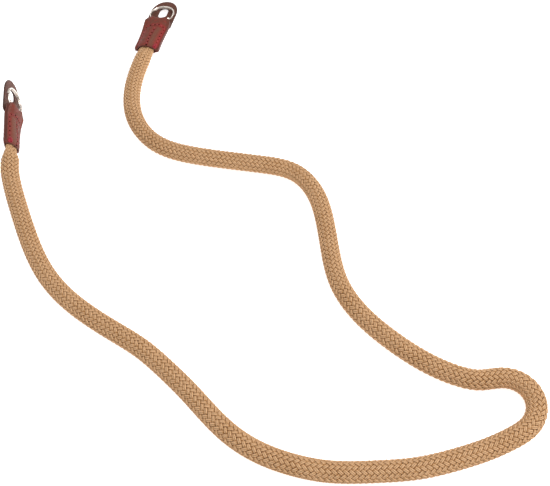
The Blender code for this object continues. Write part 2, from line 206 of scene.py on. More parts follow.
def colour_property(name, description, default):
    """A colour to pick in the panel."""
    return FloatVectorProperty(
        name=name, description=description, default=default, size=3, min=0.0, max=1.0, subtype="COLOR",
    )


def length_property(name, description, default, low, high):
    """A length in metres."""
    return FloatProperty(name=name, description=description, default=default, min=low, max=high, unit="LENGTH")


class CordSettings(bpy.types.PropertyGroup):
    """The braided cord."""

    strands: IntProperty(
        name="Strands each way", description="Strands that turn to the left, and as many to the right",
        default=14, min=8, max=16,
    )
    turn: length_property("Length of a turn", "Cord's length in which a strand goes once round it", 0.036, 0.02, 0.08)
    strand_width: length_property("Strand width", "Across a strand, on the cord's surface", 0.00162, 0.001, 0.004)
    strand_thickness: length_property("Strand thickness", "Through a strand", 0.00110, 0.0005, 0.003)
    relief: length_property("Relief", "How far a strand dips where it passes under two others", 0.00080, 0.0, 0.002)
    stations: IntProperty(name="Stations", description="Points along each strand", default=1060, min=100, max=2000)
    light: colour_property("Light cotton", "Where the cotton is lightest", (0.71, 0.434, 0.232))
    # Middle cotton and Dark cotton are painted shade: on the strands' sides and down between the strands.
    middle: colour_property("Middle cotton", "On the strands' sides", (0.42, 0.190, 0.050))
    dark: colour_property("Dark cotton", "Down between the strands", (0.085, 0.020, 0.002))
    warm: colour_property("Warm cotton", "What some strands lean towards", (0.58, 0.345, 0.180))


class LeatherSettings(bpy.types.PropertyGroup):
    """The sewn leather ends and their guards."""

    brown: colour_property("Brown", "Main colour of the leather", (0.122, 0.049, 0.030))
    red: colour_property("Red", "Where the red dye shows through", (0.235, 0.027, 0.017))
    dye: colour_property("Dye", "Along the stitches, where the thread's dye has come off", (0.31, 0.024, 0.021))
    # Lighter than the brown: a painted highlight on the bulge over the cord's end.
    panel: colour_property("Panel", "The smooth panel over the cord's end", (0.175, 0.062, 0.038))
    edge: colour_property("Edge", "The sleeves' burnished cut edges", (0.120, 0.034, 0.024))
    rubbed: colour_property("Rubbed", "Corners that have worn light", (0.27, 0.095, 0.05))
    guard: colour_property("Guard", "Main colour of the guards behind the rings", (0.112, 0.046, 0.029))
    guard_edge: colour_property("Guard's edge", "The guards' cut edges", (0.070, 0.032, 0.024))
    grain: length_property("Grain", "Size of the leather's grain", 0.00045, 0.0002, 0.003)


class StitchSettings(bpy.types.PropertyGroup):
    """The red stitches."""

    pitch: length_property("Pitch", "From one stitch to the next", 0.0028, 0.001, 0.006)
    thread: length_property("Thread", "Thread's thickness", 0.00075, 0.0003, 0.002)
    slant: FloatProperty(
        name="Slant", description="How far each stitch turns out of its line", default=math.radians(9.0),
        min=0.0, max=0.8, subtype="ANGLE",
    )
    colour: colour_property("Thread colour", "The waxed thread", (0.26, 0.026, 0.024))
    bright: colour_property("Bright thread", "The newer thread along the knot's side", (0.34, 0.022, 0.026))
    knot: colour_property("Knot", "The knot at the mouth", (0.44, 0.017, 0.034))


class RingSettings(bpy.types.PropertyGroup):
    """The split rings."""

    mouth: FloatProperty(
        name="Cut end", description="Where the upper turn's cut end lies, from the across axis",
        default=math.radians(-35.0), subtype="ANGLE",
    )
    jog: FloatProperty(
        name="Crossing", description="Angle over which the wire climbs from the lower turn to the upper one",
        default=math.radians(34.0), min=0.1, max=1.5, subtype="ANGLE",
    )
    steps: IntProperty(name="Steps", description="Points in a turn", default=96, min=24, max=200)
    roughness: FloatProperty(
        name="Roughness", description="Of the chromed wire", default=0.20, min=0.0, max=1.0, subtype="FACTOR",
    )


class StageSettings(bpy.types.PropertyGroup):
    """The floor, the lights and the camera."""

    camera_place: FloatVectorProperty(
        name="Camera", description="Where the photo was taken from",
        default=(0.1089, -0.3792, 0.3720), size=3, subtype="TRANSLATION",
    )
    camera_tilt: FloatProperty(
        name="Tilt", description="From straight down", default=math.radians(34.6), subtype="ANGLE",
    )
    lens: FloatProperty(name="Lens", description="Focal length in millimetres", default=56.29, min=10.0, max=200.0)
    floor: colour_property("Floor", "The paper under the strap", (0.86, 0.86, 0.86))
    glow: FloatProperty(
        name="Glow", description="Light that comes through the paper, as on a light table", default=0.75, min=0.0,
    )
    key_power: FloatProperty(name="Key light", description="Power of the large soft light", default=9.5, min=0.0)
    fill: FloatProperty(name="Fill", description="Strength of the light from all round", default=0.50, min=0.0)


# ---- nodes ---------------------------------------------------------------------------------


class Value:
    """What a node puts out. Arithmetic with it adds Math nodes to its tree."""

    def __init__(self, nodes, socket):
        self.nodes, self.socket = nodes, socket

    def __add__(self, other):
        return self.nodes.maths("ADD", self, other)

    def __sub__(self, other):
        return self.nodes.maths("SUBTRACT", self, other)

    def __rsub__(self, other):
        return self.nodes.maths("SUBTRACT", other, self)

    def __mul__(self, other):
        return self.nodes.maths("MULTIPLY", self, other)

    def __truediv__(self, other):
        return self.nodes.maths("DIVIDE", self, other)

    def __rtruediv__(self, other):
        return self.nodes.maths("DIVIDE", other, self)


class Nodes:
    """A node tree that is built by calls, each of which adds a node."""

    def __init__(self, tree):
        self.tree = tree

    def fill(self, node, inputs):
        """Links or fills in a node's inputs."""
        for name, value in inputs.items():
            self.feed(node.inputs[name], value)

    def feed(self, socket, value):
        if isinstance(value, Value):
            self.tree.links.new(value.socket, socket)
        else:
            socket.default_value = value

    def node(self, kind, inputs, **settings):
        """A new node with its settings made and its inputs linked or filled in."""
        made = self.tree.nodes.new(kind)
        for name, value in settings.items():
            setattr(made, name, value)
        self.fill(made, inputs)
        return made

    def out(self, kind, output, inputs, **settings):
        """One output of a new node."""
        return Value(self, self.node(kind, inputs, **settings).outputs[output])

    def maths(self, operation, *values):
        return self.out("ShaderNodeMath", 0, dict(enumerate(values)), operation=operation)

    def vectors(self, operation, *values):
        inputs = dict(enumerate(values))
        if operation == "SCALE":
            inputs = {0: values[0], "Scale": values[1]}
        return self.out("ShaderNodeVectorMath", 0, inputs, operation=operation)

    def triple(self, x, y, z):
        """A vector of three values."""
        return self.out("ShaderNodeCombineXYZ", 0, {0: x, 1: y, 2: z})

    def parts(self, vector):
        """A vector's three values."""
        return [Value(self, part) for part in self.node("ShaderNodeSeparateXYZ", {0: vector}).outputs]

    def spread(self, value, from_low, from_high, to_low=0.0, to_high=1.0):
        """A value moved from one range to another, and kept inside it."""
        inputs = {"Value": value, "From Min": from_low, "From Max": from_high, "To Min": to_low, "To Max": to_high}
        return self.out("ShaderNodeMapRange", "Result", inputs)

    def mixed(self, share, *colours):
        """A colour between two colours."""
        made = self.node("ShaderNodeMix", {}, data_type="RGBA")
        sockets = {socket.identifier: socket for socket in (*made.inputs, *made.outputs)}
        self.feed(sockets["Factor_Float"], share)
        for name, colour in zip(("A_Color", "B_Color"), colours):
            self.feed(sockets[name], colour if isinstance(colour, Value) else (*colour, 1.0))
        return Value(self, sockets["Result_Color"])

    def noise(self, vector, scale, detail=3.0, roughness=0.55):
        """Values of a noise texture round 0.5."""
        inputs = {"Vector": vector, "Scale": scale, "Detail": detail, "Roughness": roughness}
        return self.out("ShaderNodeTexNoise", "Fac", inputs)

    def mesh_value(self, name):
        """A float attribute of the mesh, for a material."""
        return self.out("ShaderNodeAttribute", "Fac", {}, attribute_name=name)

    def read(self, name, kind="FLOAT"):
        """An attribute, in Geometry Nodes."""
        return self.out("GeometryNodeInputNamedAttribute", "Attribute", {"Name": name}, data_type=kind)

    def keep(self, geometry, name, value, kind="FLOAT", domain="POINT"):
        """The geometry with an attribute written on it."""
        inputs = {"Geometry": geometry, "Name": name, "Value": value}
        return self.out("GeometryNodeStoreNamedAttribute", "Geometry", inputs, data_type=kind, domain=domain)

    def run(self):
        """The length of the curve so far."""
        return self.out("GeometryNodeSplineParameter", "Length", {})

    def swept(self, curve, profile):
        """The curve with its profile round it and its yarns laid out along and across."""
        across = self.parts(self.out("GeometryNodeInputPosition", 0, {}))[1]
        profile = self.keep(profile, "across", across)
        inputs = {"Curve": curve, "Profile Curve": profile, "Fill Caps": True}
        mesh = self.out("GeometryNodeCurveToMesh", "Mesh", inputs)
        lay = self.triple(self.read("along"), self.read("across"), 0.0)
        return self.smoothed(self.keep(mesh, "UVMap", lay, "FLOAT2", "CORNER"))

    def smoothed(self, mesh):
        return self.out("GeometryNodeSetShadeSmooth", "Geometry", {"Geometry": mesh, "Shade Smooth": True})

    def realized(self, geometry, surface):
        """The geometry with its instances made real, and with its material."""
        real = self.out("GeometryNodeRealizeInstances", "Geometry", {"Geometry": geometry})
        return self.out("GeometryNodeSetMaterial", "Geometry", {"Geometry": real, "Material": surface})

    def shared(self, builder, inputs):
        """One use of a shared effect, which is built once: its outputs by name."""
        tree = bpy.data.node_groups.get(builder.__name__) or builder()
        made = self.node("ShaderNodeGroup", inputs, node_tree=tree)
        return {socket.name: Value(self, socket) for socket in made.outputs}


def new_tree(name, kind, inputs, outputs):
    """A node group with named inputs (name, type, default) and outputs (name, type): its nodes,
    what it is given by name, and its output node."""
    tree = bpy.data.node_groups.new(name, kind)
    for label, socket_type, value in inputs:
        socket = tree.interface.new_socket(label, in_out="INPUT", socket_type="NodeSocket" + socket_type)
        if value is not None:
            socket.default_value = value
    for label, socket_type in outputs:
        tree.interface.new_socket(label, in_out="OUTPUT", socket_type="NodeSocket" + socket_type)
    nodes = Nodes(tree)
    given = {socket.name: Value(nodes, socket) for socket in tree.nodes.new("NodeGroupInput").outputs}
    return nodes, given, tree.nodes.new("NodeGroupOutput")


# ---- shared effects ------------------------------------------------------------------------


def yarn_lay():
    """Yarns that lie side by side in a strand, each twisted: the vector's X runs along it in
    metres and its Y across it."""
    nodes, given, result = new_tree(
        "yarn_lay", "ShaderNodeTree",
        [("Vector", "Vector", None), ("Yarn", "Float", 0.0006), ("Twist", "Float", 0.0011), ("Fuzz", "Float", 0.3)],
        [("Height", "Float"), ("Groove", "Float")],
    )
    parts = nodes.parts(given["Vector"])
    across = parts[1] / given["Yarn"]
    beside = nodes.maths("ABSOLUTE", nodes.maths("SINE", across * math.pi))
    twist = nodes.maths("SINE", (parts[0] / given["Twist"] + across * 0.8) * (2 * math.pi))
    fibres = nodes.noise(nodes.vectors("MULTIPLY", given["Vector"], (2500.0, 9000.0, 1.0)), 1.0, 2.0)
    height = beside * 0.7 + twist * 0.22 + fibres * given["Fuzz"]
    nodes.fill(result, {"Height": height, "Groove": nodes.spread(beside, 0.0, 0.55, 1.0, 0.0)})
    return nodes.tree


def leather_grain():
    """Fine creased grain, with slow changes of tone over the hide."""
    nodes, given, result = new_tree(
        "leather_grain", "ShaderNodeTree",
        [("Vector", "Vector", None), ("Grain", "Float", 0.0007)],
        [("Height", "Float"), ("Mottle", "Float"), ("Crease", "Float")],
    )
    place, size = given["Vector"], 1.0 / given["Grain"]
    inputs = {"Vector": place, "Scale": size, "Randomness": 1.0}
    crease = nodes.spread(
        nodes.out("ShaderNodeTexVoronoi", "Distance", inputs, feature="DISTANCE_TO_EDGE"), 0.0, 0.16, 1.0, 0.0
    )
    height = nodes.noise(place, size * 2.3, 4.0, 0.6) * 0.6 - crease * 0.5
    mottle = nodes.spread(nodes.noise(place, size * 0.17, 3.0, 0.6), 0.36, 0.64)
    nodes.fill(result, {"Height": height, "Mottle": mottle, "Crease": crease})
    return nodes.tree


def edge_wear():
    """Where a cut edge is burnished dark, and where its corner has worn light, from a value that
    rises to 1 at the edge."""
    nodes, given, result = new_tree(
        "edge_wear", "ShaderNodeTree",
        [("Rim", "Float", 0.0), ("Vector", "Vector", None), ("Wear", "Float", 0.5)],
        [("Burnish", "Float"), ("Rub", "Float")],
    )
    rim = given["Rim"] + nodes.spread(nodes.noise(given["Vector"], 420.0), 0.3, 0.7, -0.18, 0.18)
    near = nodes.maths("MAXIMUM", 1.0 - nodes.maths("ABSOLUTE", (rim - 0.66) * 5.0), 0.0)
    patch = nodes.spread(nodes.noise(given["Vector"], 160.0, 2.0), 0.48, 0.66)
    nodes.fill(result, {"Burnish": nodes.spread(rim, 0.45, 0.95), "Rub": near * (patch * given["Wear"])})
    return nodes.tree


# ---- materials -----------------------------------------------------------------------------


def new_material(name, uniform):
    """A Principled material with its plain values set: it, its nodes, its shader, and the place
    on the object."""
    made = bpy.data.materials.new(name)
    made.use_nodes = True
    nodes = Nodes(made.node_tree)
    shader = made.node_tree.nodes["Principled BSDF"]
    nodes.fill(shader, uniform)
    return made, nodes, shader, nodes.out("ShaderNodeTexCoord", "Object", {})


def bump(nodes, height, distance, strength=1.0):
    """A normal from a height between 0 and 1, at a depth in metres."""
    return nodes.out("ShaderNodeBump", "Normal", {"Height": height, "Distance": distance, "Strength": strength})


def laid_yarns(nodes, yarn, twist, fuzz):
    """The yarns that lie along a strand or a thread."""
    lay = nodes.out("ShaderNodeUVMap", "UV", {}, uv_map="UVMap")
    return nodes.shared(yarn_lay, {"Vector": lay, "Yarn": yarn, "Twist": twist, "Fuzz": fuzz})


def cotton_material(settings):
    """Braided cotton: light on the crowns, with painted shade on the strands' sides and darker painted shade in the
    hollows and yarn grooves, every strand a little different.
    """
    uniform = {"Specular IOR Level": 0.12, "Sheen Weight": 0.04, "Sheen Roughness": 0.6}
    made, nodes, shader, place = new_material("braided_cotton", uniform)
    yarns = laid_yarns(nodes, 0.00081, 0.0012, 0.45)
    height, dark = yarns["Height"], settings.dark
    blotch = nodes.spread(nodes.noise(place, 95.0), 0.3, 0.7, -0.10, 0.10)
    level = nodes.spread(nodes.mesh_value("crown"), 0.27, 0.95) + blotch
    # Painted shade: from the dark hollows up the strands' sides to the light crowns.
    tone = nodes.mixed(nodes.spread(level, 0.0, 0.5), dark, settings.middle)
    tone = nodes.mixed(nodes.spread(level, 0.4, 1.0), tone, settings.light)
    # Painted shade in the grooves between the yarns.
    tone = nodes.mixed(yarns["Groove"] * 0.72, tone, dark)
    tone = nodes.mixed(nodes.spread(nodes.mesh_value("tint"), 0.0, 1.0, 0.0, 0.30), tone, settings.warm)
    nodes.fill(shader, {
        # Painted shade where the yarns lie low.
        "Base Color": nodes.mixed(nodes.spread(height, 0.25, 0.95, 0.20, 0.0), tone, dark),
        "Roughness": nodes.spread(height, 0.0, 1.0, 0.95, 0.80),
        "Normal": bump(nodes, height, 0.00030, 0.9),
    })
    return made


def core_material():
    """The cord's shaded inside, seen between the strands."""
    made, nodes, shader, place = new_material("cotton_core", {"Roughness": 0.95})
    nodes.fill(shader, {
        # Dark brown painted shade, for the cord's inside seen between the strands.
        "Base Color": nodes.mixed(nodes.noise(place, 700.0), (0.13, 0.034, 0.003), (0.20, 0.060, 0.008)),
        "Normal": bump(nodes, nodes.noise(place, 1800.0), 0.0002),
    })
    return made


def leather_material(name, settings, brown, edge, reds, wear):
    """Oiled leather with a fine grain, burnished edges and red dye near its seams."""
    made, nodes, shader, place = new_material(name, {"Specular IOR Level": 0.2})
    grain = nodes.shared(leather_grain, {"Vector": place, "Grain": settings.grain})
    edges = nodes.shared(edge_wear, {"Rim": nodes.mesh_value("rim"), "Vector": place, "Wear": wear})
    tone = nodes.mixed(nodes.spread(grain["Mottle"], 0.0, 1.0, 0.15, 1.0) * reds, brown, settings.red)
    for share, colour in (
        # The panel's lighter colour is a painted highlight on its bulge over the cord's end.
        (nodes.mesh_value("panel"), settings.panel), (nodes.mesh_value("seam") * 0.85, settings.dye),
        # The grain's creases are darkened with the guards' edge colour: painted shade.
        (grain["Crease"] * 0.30, settings.guard_edge), (edges["Rub"], settings.rubbed), (edges["Burnish"], edge),
    ):
        tone = nodes.mixed(share, tone, colour)
    nodes.fill(shader, {
        "Base Color": tone,
        "Roughness": nodes.spread(grain["Mottle"], 0.0, 1.0, 0.62, 0.48) - edges["Burnish"] * 0.12,
        "Normal": bump(nodes, grain["Height"], 0.00012, 0.7),
    })
    return made


def thread_material(name, colour):
    """Waxed thread of two twisted plies."""
    made, nodes, shader, place = new_material(name, {"Specular IOR Level": 0.5})
    yarns = laid_yarns(nodes, 0.00055, 0.0008, 0.2)
    # A darker copy of the thread's colour: painted shade in the grooves between the plies, and the tone of random
    # darker patches.
    groove_shade_and_dark_tone = (colour[0] * 0.45, colour[1] * 0.35, colour[2] * 0.4)
    # Painted shade in the grooves between the plies.
    tone = nodes.mixed(yarns["Groove"] * 0.6, colour, groove_shade_and_dark_tone)
    nodes.fill(shader, {
        "Base Color": nodes.mixed(nodes.spread(nodes.noise(place, 600.0), 0.45, 0.75, 0.0, 0.5), tone, groove_shade_and_dark_tone),
        "Roughness": nodes.spread(yarns["Height"], 0.0, 1.0, 0.7, 0.42),
        "Normal": bump(nodes, yarns["Height"], 0.0001, 0.8),
    })
    return made


def hole_material():
    """The shadow in a stitch's hole."""
    made, nodes, shader, place = new_material("stitch_hole", {"Specular IOR Level": 0.1})
    nodes.fill(shader, {
        "Base Color": nodes.mixed(nodes.noise(place, 900.0), (0.020, 0.002, 0.002), (0.055, 0.005, 0.005)),
        "Roughness": nodes.spread(nodes.noise(place, 500.0), 0.3, 0.7, 0.8, 1.0),
    })
    return made


def chrome_material(settings):
    """Bright chromed wire with faint rubbing and handling marks, and painted shade darkening its lower turn."""
    made, nodes, shader, place = new_material("ring_chrome", {"Metallic": 1.0})
    film = nodes.noise(place, 260.0)
    marks = nodes.noise(nodes.vectors("MULTIPLY", place, (2600.0, 2600.0, 500.0)), 1.0, 2.0)
    tone = nodes.mixed(nodes.spread(film, 0.35, 0.7), (0.95, 0.87, 0.79), (0.84, 0.75, 0.67))
    nodes.fill(shader, {
        # Painted shade: the lower turn is darkened towards dark brown.
        "Base Color": nodes.mixed(nodes.mesh_value("lower_turn_shade") * 0.8, tone, (0.16, 0.12, 0.10)),
        "Roughness": nodes.spread(film, 0.3, 0.7, settings.roughness * 0.6, settings.roughness * 1.5),
        "Normal": bump(nodes, marks, 0.00003, 0.4),
    })
    return made


def paper_material(colour, glow):
    """The matt white sheet under the strap."""
    uniform = {"Specular IOR Level": 0.15, "Emission Strength": glow, "Emission Color": (1.0, 1.0, 1.0, 1.0)}
    made, nodes, shader, place = new_material("white_paper", uniform)
    nodes.fill(shader, {
        "Base Color": nodes.mixed(nodes.noise(place, 3.0), colour, [part * 0.985 for part in colour]),
        "Roughness": nodes.spread(nodes.noise(place, 40.0), 0.0, 1.0, 0.85, 0.95),
    })
    return made


# ---- meshes --------------------------------------------------------------------------------


def new_object(name, data, surface=None):
    """Links a new object to the scene, with its material."""
    made = bpy.data.objects.new(name, data)
    bpy.context.scene.collection.objects.link(made)
    if surface:
        data.materials.append(surface)
    return made


def store(mesh, name, values, kind="FLOAT"):
    """Writes a point attribute."""
    field = "vector" if kind == "FLOAT_VECTOR" else "value"
    attribute = mesh.attributes.new(name, kind, "POINT")
    attribute.data.foreach_set(field, np.asarray(values, np.float32).ravel())


def plain_mesh(source, name):
    """The object's mesh with its modifiers applied; the object itself is removed."""
    bpy.context.view_layer.update()
    depsgraph = bpy.context.evaluated_depsgraph_get()
    made = bpy.data.meshes.new_from_object(
        source.evaluated_get(depsgraph), preserve_all_data_layers=True, depsgraph=depsgraph
    )
    bpy.data.objects.remove(source)
    made.name = name
    return made


def through_nodes(name, mesh, tree, values):
    """Runs a mesh through a node tree and returns the result as a plain mesh's object."""
    source = new_object(name + "_guide", mesh)
    modifier = source.modifiers.new("nodes", "NODES")
    modifier.node_group = tree
    for item in tree.interface.items_tree:
        if item.item_type == "SOCKET" and item.in_out == "INPUT" and item.name in values:
            modifier[item.identifier] = values[item.name]
    made = plain_mesh(source, name)
    if not made.polygons:
        raise RuntimeError(name + " came out of its nodes without a face")
    return new_object(name, made)


def guide_mesh(name, points, **vectors):
    """A line of edges for a node tree to follow, with vectors at its points."""
    mesh = bpy.data.meshes.new(name)
    mesh.from_pydata(points.tolist(), [(i, i + 1) for i in range(len(points) - 1)], [])
    for label, values in vectors.items():
        store(mesh, label, values, "FLOAT_VECTOR")
    return mesh


def loft(name, sections, surface, along_closed=False, across_closed=True):
    """A mesh through rows of points: a ring, a bar with a cap at each end, or an open sheet."""
    points = np.array(sections, float)
    rows, count = points.shape[:2]
    faces = []
    for row in range(rows if along_closed else rows - 1):
        low, high = row * count, ((row + 1) % rows) * count
        for i in range(count if across_closed else count - 1):
            j = (i + 1) % count
            faces.append((low + i, low + j, high + j, high + i))
    if across_closed and not along_closed:
        faces += [tuple(range(count)), tuple(range((rows - 1) * count, rows * count))]
    mesh = bpy.data.meshes.new(name)
    mesh.from_pydata(points.reshape(-1, 3).tolist(), [], faces)
    bm = bmesh.new()
    bm.from_mesh(mesh)
    bmesh.ops.recalc_face_normals(bm, faces=bm.faces)
    bm.to_mesh(mesh)
    bm.free()
    mesh.shade_smooth()
    return new_object(name, mesh, surface)


def circles(middles, out, rise, count):
    """A circle of points round each middle, from one radius and the one square to it."""
    turns = (2 * math.pi * np.arange(count) / count)[:, None]
    return middles[:, None] + out[:, None] * np.cos(turns) + rise[:, None] * np.sin(turns)


def unit(vectors):
    """Rows of vectors, each of length 1."""
    return vectors / np.linalg.norm(vectors, axis=1)[:, None]


def run_along(points):
    """Distance of each point from the first one, along the line."""
    return np.concatenate([[0.0], np.cumsum(np.linalg.norm(np.diff(points, axis=0), axis=1))])


def evenly(points, count):
    """Evenly spaced points on a line of dense ones, and their distances along it."""
    run = run_along(points)
    places = np.linspace(0.0, run[-1], count)
    return np.stack([np.interp(places, run, column) for column in points.T], axis=1), places


def ramp(values):
    """Values kept between 0 and 1."""
    return np.clip(values, 0.0, 1.0)


def eased(share):
    """A share from 0 to 1 that starts and stops gently."""
    return share * share * (3 - 2 * share)


def finish_piece(piece, slot, *nodes):
    """Declares a finished piece: its body and the solids that it stands for; its slot is not used."""
    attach(piece, "root")
    if nodes:
        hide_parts(*nodes)
    return piece


# ---- the cord ------------------------------------------------------------------------------


def pocket_value(name, along):
    """The room in the sleeve at a distance from its mouth, in metres."""
    column = POCKET_NAMES.index(name)
    unit_size = {"edge": HALF_SHOULDER, "lift": FOLD_LIFT}.get(name, CORD_RADIUS)
    places = [row[0] * SLEEVE_LENGTH for row in POCKET]
    return np.interp(along, places, [row[column] * unit_size for row in POCKET])


def smooth_points(points, start_way, end_way):
    """Dense points on the cubic spline through the given ones, as in the solids."""
    knots = np.array(points, float)
    spans = np.linalg.norm(np.diff(knots, axis=0), axis=1)
    count = len(knots)
    system = np.eye(count)
    right = np.zeros((count, 3))
    right[0], right[-1] = start_way, end_way
    for i in range(1, count - 1):
        before, after = spans[i - 1], spans[i]
        system[i, i - 1 : i + 2] = 1 / before, 2 / before + 2 / after, 1 / after
        right[i] = 3 * ((knots[i] - knots[i - 1]) / before**2 + (knots[i + 1] - knots[i]) / after**2)
    slopes = np.linalg.solve(system, right)
    t = np.linspace(0.0, 1.0, SPLINE_SAMPLES, endpoint=False)[:, None]
    made = []
    for i, span in enumerate(spans):
        start, end = (2 * t**3 - 3 * t**2 + 1) * knots[i], (3 * t**2 - 2 * t**3) * knots[i + 1]
        leave, arrive = (t**3 - 2 * t**2 + t) * slopes[i], (t**3 - t**2) * slopes[i + 1]
        made.append(start + end + (leave + arrive) * span)
    return np.vstack(made + [knots[-1:]])


def cord_stations(count):
    """Evenly spaced stations along the cord, from inside the left sleeve to inside the right one:
    their points, the directions across and up, and the half sizes across, above and below."""
    left, right = end_matrix("left"), end_matrix("right")
    stop = -PRESS_RUN - LEAD

    def on_end(matrix, along):
        return np.array(matrix @ Vector((0.0, along, 0.0)))

    left_axes, right_axes = np.array(left.to_3x3()), np.array(right.to_3x3())
    route = [on_end(left, stop)] + [(x, y, CORD_RADIUS) for x, y in CORD_ROUTE] + [on_end(right, stop)]
    laid = smooth_points(route, -left_axes[:, 1], right_axes[:, 1])
    laid[:, 2] = np.maximum(laid[:, 2], CORD_RADIUS)
    straight = np.linspace(SEWN_IN, stop, 24)[:-1]
    line = np.vstack([[on_end(left, a) for a in straight], laid, [on_end(right, a) for a in straight[::-1]]])
    points, places = evenly(line, count)

    ways = unit(np.gradient(points, axis=0))
    side = np.zeros_like(points)
    side[0] = left_axes[:, 0]
    for i in range(1, count):
        kept = side[i - 1] - np.dot(side[i - 1], ways[i]) * ways[i]
        side[i] = kept / np.linalg.norm(kept)
    up = np.cross(ways, side)
    wanted = -right_axes[:, 0]
    turn = math.atan2(np.dot(np.cross(side[-1], wanted), ways[-1]), np.dot(side[-1], wanted))
    first, last = SEWN_IN + PRESS_RUN, places[-1] - SEWN_IN - PRESS_RUN
    angle = (turn * ramp((places - first) / (last - first)))[:, None]
    turned = np.cos(angle) * side + np.sin(angle) * up

    inside = SEWN_IN - np.minimum(places, places[-1] - places)
    sizes = {}
    for name in ("wide", "high", "low"):
        neck = pocket_value(name, 0.0) - CLEARANCE
        pressed = CORD_RADIUS + (neck - CORD_RADIUS) * eased(ramp(1 + inside / PRESS_RUN))
        sizes[name] = np.where(inside > 0, pocket_value(name, np.maximum(inside, 0.0)) - CLEARANCE, pressed)
    return points, turned, np.cross(ways, turned), sizes


def strand_tree():
    """Strands that wind along a guide, passing over two and under two of the other hand."""
    nodes, given, result = new_tree(
        "braided_strands", "GeometryNodeTree",
        [
            ("Guide", "Geometry", None), ("Strands", "Int", 7), ("Hand", "Float", 1.0), ("Start", "Float", 0.0),
            ("Turn", "Float", 0.039), ("Width", "Float", 0.002), ("Thickness", "Float", 0.0012),
            ("Relief", "Float", 0.0009), ("Seed", "Int", 3), ("Material", "Material", None),
        ],
        [("Strands", "Geometry")],
    )
    maths, vectors, read, keep = nodes.maths, nodes.vectors, nodes.read, nodes.keep
    strands, thickness = given["Strands"], given["Thickness"]
    side, up = read("side", "FLOAT_VECTOR"), read("up", "FLOAT_VECTOR")

    curve = keep(nodes.out("GeometryNodeMeshToCurve", "Curve", {"Mesh": given["Guide"]}), "run", nodes.run())
    copies = nodes.node("GeometryNodeDuplicateElements", {"Geometry": curve, "Amount": strands}, domain="SPLINE")
    index = Value(nodes, copies.outputs["Duplicate Index"])
    wound = read("run") / given["Turn"] * (2 * math.pi) * given["Hand"]
    angle = index / strands * (2 * math.pi) + given["Start"] + wound
    curve = keep(Value(nodes, copies.outputs["Geometry"]), "angle", angle)
    random = nodes.node("FunctionNodeRandomValue", {"ID": index, "Seed": given["Seed"]}, data_type="FLOAT")
    curve = keep(curve, "tint", Value(nodes, random.outputs[1]))
    # Columns of the braid: this wave is 1 where the strand of hand 1 lies on top. It is flattened,
    # so that a strand changes level quickly, and brought to between 0 and 1.
    wave = maths("COSINE", read("angle") * strands - math.pi / 4) * given["Hand"]
    curve = keep(curve, "crown", wave / maths("SQRT", wave * wave + 0.20) * 0.548 + 0.5)
    depth = thickness * 0.5 + (1.0 - read("crown")) * given["Relief"]
    across, rise = maths("COSINE", read("angle")), maths("SINE", read("angle"))
    tall = read("low") + maths("GREATER_THAN", rise, 0.0) * (read("high") - read("low"))
    wide_part = vectors("SCALE", side, across * (read("wide") - depth))
    tall_part = vectors("SCALE", up, rise * (tall - depth))
    out_across, out_rise = vectors("SCALE", side, across / read("wide")), vectors("SCALE", up, rise / tall)
    outward = vectors("NORMALIZE", vectors("ADD", out_across, out_rise))
    curve = keep(curve, "outward", outward, "FLOAT_VECTOR")
    offset = vectors("ADD", wide_part, tall_part)
    curve = nodes.out("GeometryNodeSetPosition", "Geometry", {"Geometry": curve, "Offset": offset})
    inputs = {"Curve": curve, "Normal": read("outward", "FLOAT_VECTOR")}
    curve = keep(nodes.out("GeometryNodeSetCurveNormal", "Curve", inputs, mode="FREE"), "along", nodes.run())

    inputs = {"Resolution": 8, "Radius": 0.5}
    circle = nodes.out("GeometryNodeCurvePrimitiveCircle", "Curve", inputs, mode="RADIUS")
    inputs = {"Geometry": circle, "Scale": nodes.triple(thickness, given["Width"], 1.0)}
    mesh = nodes.swept(curve, nodes.out("GeometryNodeTransform", 0, inputs))
    nodes.fill(result, {"Strands": nodes.realized(mesh, given["Material"])})
    return nodes.tree


class STRAP_OT_cord(bpy.types.Operator):
    """Braid the cord: strands of both hands over a shaded core"""

    bl_idname = "strap.cord"
    bl_label = "Braid the cord"

    def execute(self, context):
        settings = context.scene.strap_cord
        points, side, up, sizes = cord_stations(settings.stations)
        cotton = cotton_material(settings)
        tree = strand_tree()
        braids = []
        for hand, side_name in ((1.0, "right"), (-1.0, "left")):
            for start, place_name in ((0.0, ""), (2 * math.pi / settings.strands, "_between")):
                name = "braid_%s_hand%s" % (side_name, place_name)
                mesh = guide_mesh(name, points, side=side, up=up)
                for label, values in sizes.items():
                    store(mesh, label, values)
                values = {
                    "Strands": settings.strands // 2, "Hand": hand, "Start": start, "Turn": settings.turn,
                    "Width": settings.strand_width, "Thickness": settings.strand_thickness,
                    "Relief": settings.relief, "Seed": 3 + len(braids), "Material": cotton,
                }
                braids.append(finish_piece(through_nodes(name, mesh, tree, values), "cord"))

        few, around = slice(None, None, CORE_STEP), np.arange(CORE_SIDES)
        inner = settings.strand_thickness + 0.4 * settings.relief
        wide, high, low = (sizes[name][few, None] - inner for name in ("wide", "high", "low"))
        tall = np.maximum(np.where(around <= CORE_SIDES // 2, high, low), CORE_LEAST)
        angles = 2 * math.pi * around / CORE_SIDES
        across, rise = (wide * np.cos(angles))[..., None], (tall * np.sin(angles))[..., None]
        sections = points[few, None] + side[few, None] * across + up[few, None] * rise
        core = finish_piece(loft("braid_core", sections, core_material()), "cord")
        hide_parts("cord", "left_cord_end", "right_cord_end")
        points[::4].tolist() + [points[-1].tolist()]
        return {"FINISHED"}


# ---- the leather ends ----------------------------------------------------------------------


